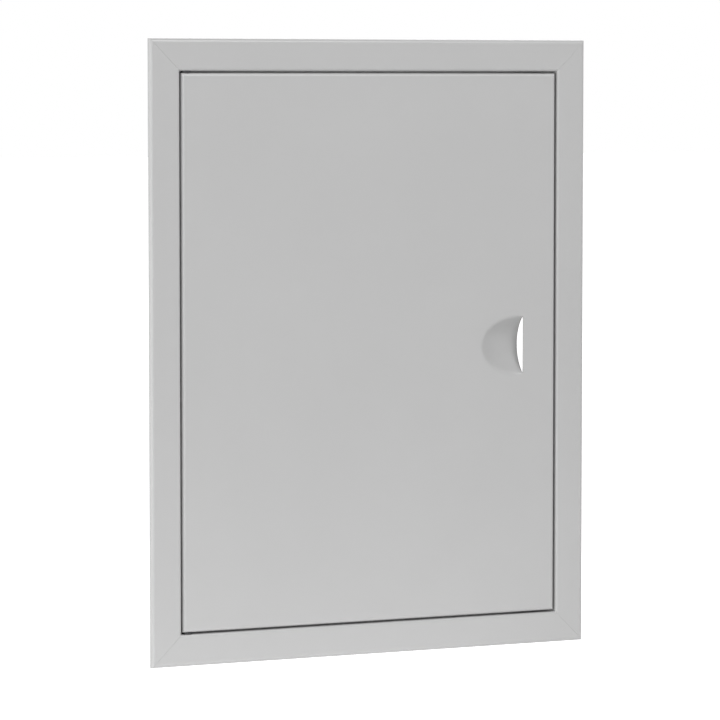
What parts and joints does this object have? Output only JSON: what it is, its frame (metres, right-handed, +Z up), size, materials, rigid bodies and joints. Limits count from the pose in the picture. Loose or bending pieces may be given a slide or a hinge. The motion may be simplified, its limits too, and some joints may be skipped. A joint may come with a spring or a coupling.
{
  "type": "metal access panel",
  "caption": "Sheet-steel wall access panel: mitred flanged frame, flush folded door on hidden pin hinges, pressed half-round finger pull and magnet catches.",
  "frame": {"origin": "the middle of the wall opening, on the plane of the wall's face, which is the back edge of the frame's return lip", "axes": "+Z up, +X to the right as one faces the panel, and the front faces -Y, so +Y points into the wall"},
  "size_m": [0.34, 0.031, 0.44],
  "materials": {
    "paint": "satin light grey powder coat",
    "zinc": "galvanised",
    "rivet_steel": "plain",
    "bright_zinc": "bright zinc plated",
    "nylon": "moulded black nylon",
    "ferrite": "sintered ferrite"
  },
  "bodies": {
    "frame": {"top_rail": "paint", "bottom_rail": "paint", "hinge_stile": "paint", "latch_stile": "paint", "top_left_corner_plate": "zinc", "top_right_corner_plate": "zinc", "bottom_left_corner_plate": "zinc", "bottom_right_corner_plate": "zinc", "corner_rivets": "rivet_steel", "upper_hinge_pin": "bright_zinc", "lower_hinge_pin": "bright_zinc", "upper_hinge_washer": "nylon", "lower_hinge_washer": "nylon", "upper_pin_clip": "bright_zinc", "lower_pin_clip": "bright_zinc", "upper_catch_case": "nylon", "lower_catch_case": "nylon", "upper_catch_magnet": "ferrite", "lower_catch_magnet": "ferrite", "upper_catch_poles": "bright_zinc", "lower_catch_poles": "bright_zinc", "catch_screws": "bright_zinc"},
    "door": {"door_panel": "paint", "upper_hinge_plate": "paint", "lower_hinge_plate": "paint"}
  },
  "joints": [
    {"name": "door_hinge", "type": "hinge", "parent": "frame", "child": "door", "pos_m": [-0.1415, 0.0005, 0], "axis": [0, 0, -1], "range_deg": [0, 108]}
  ]
}
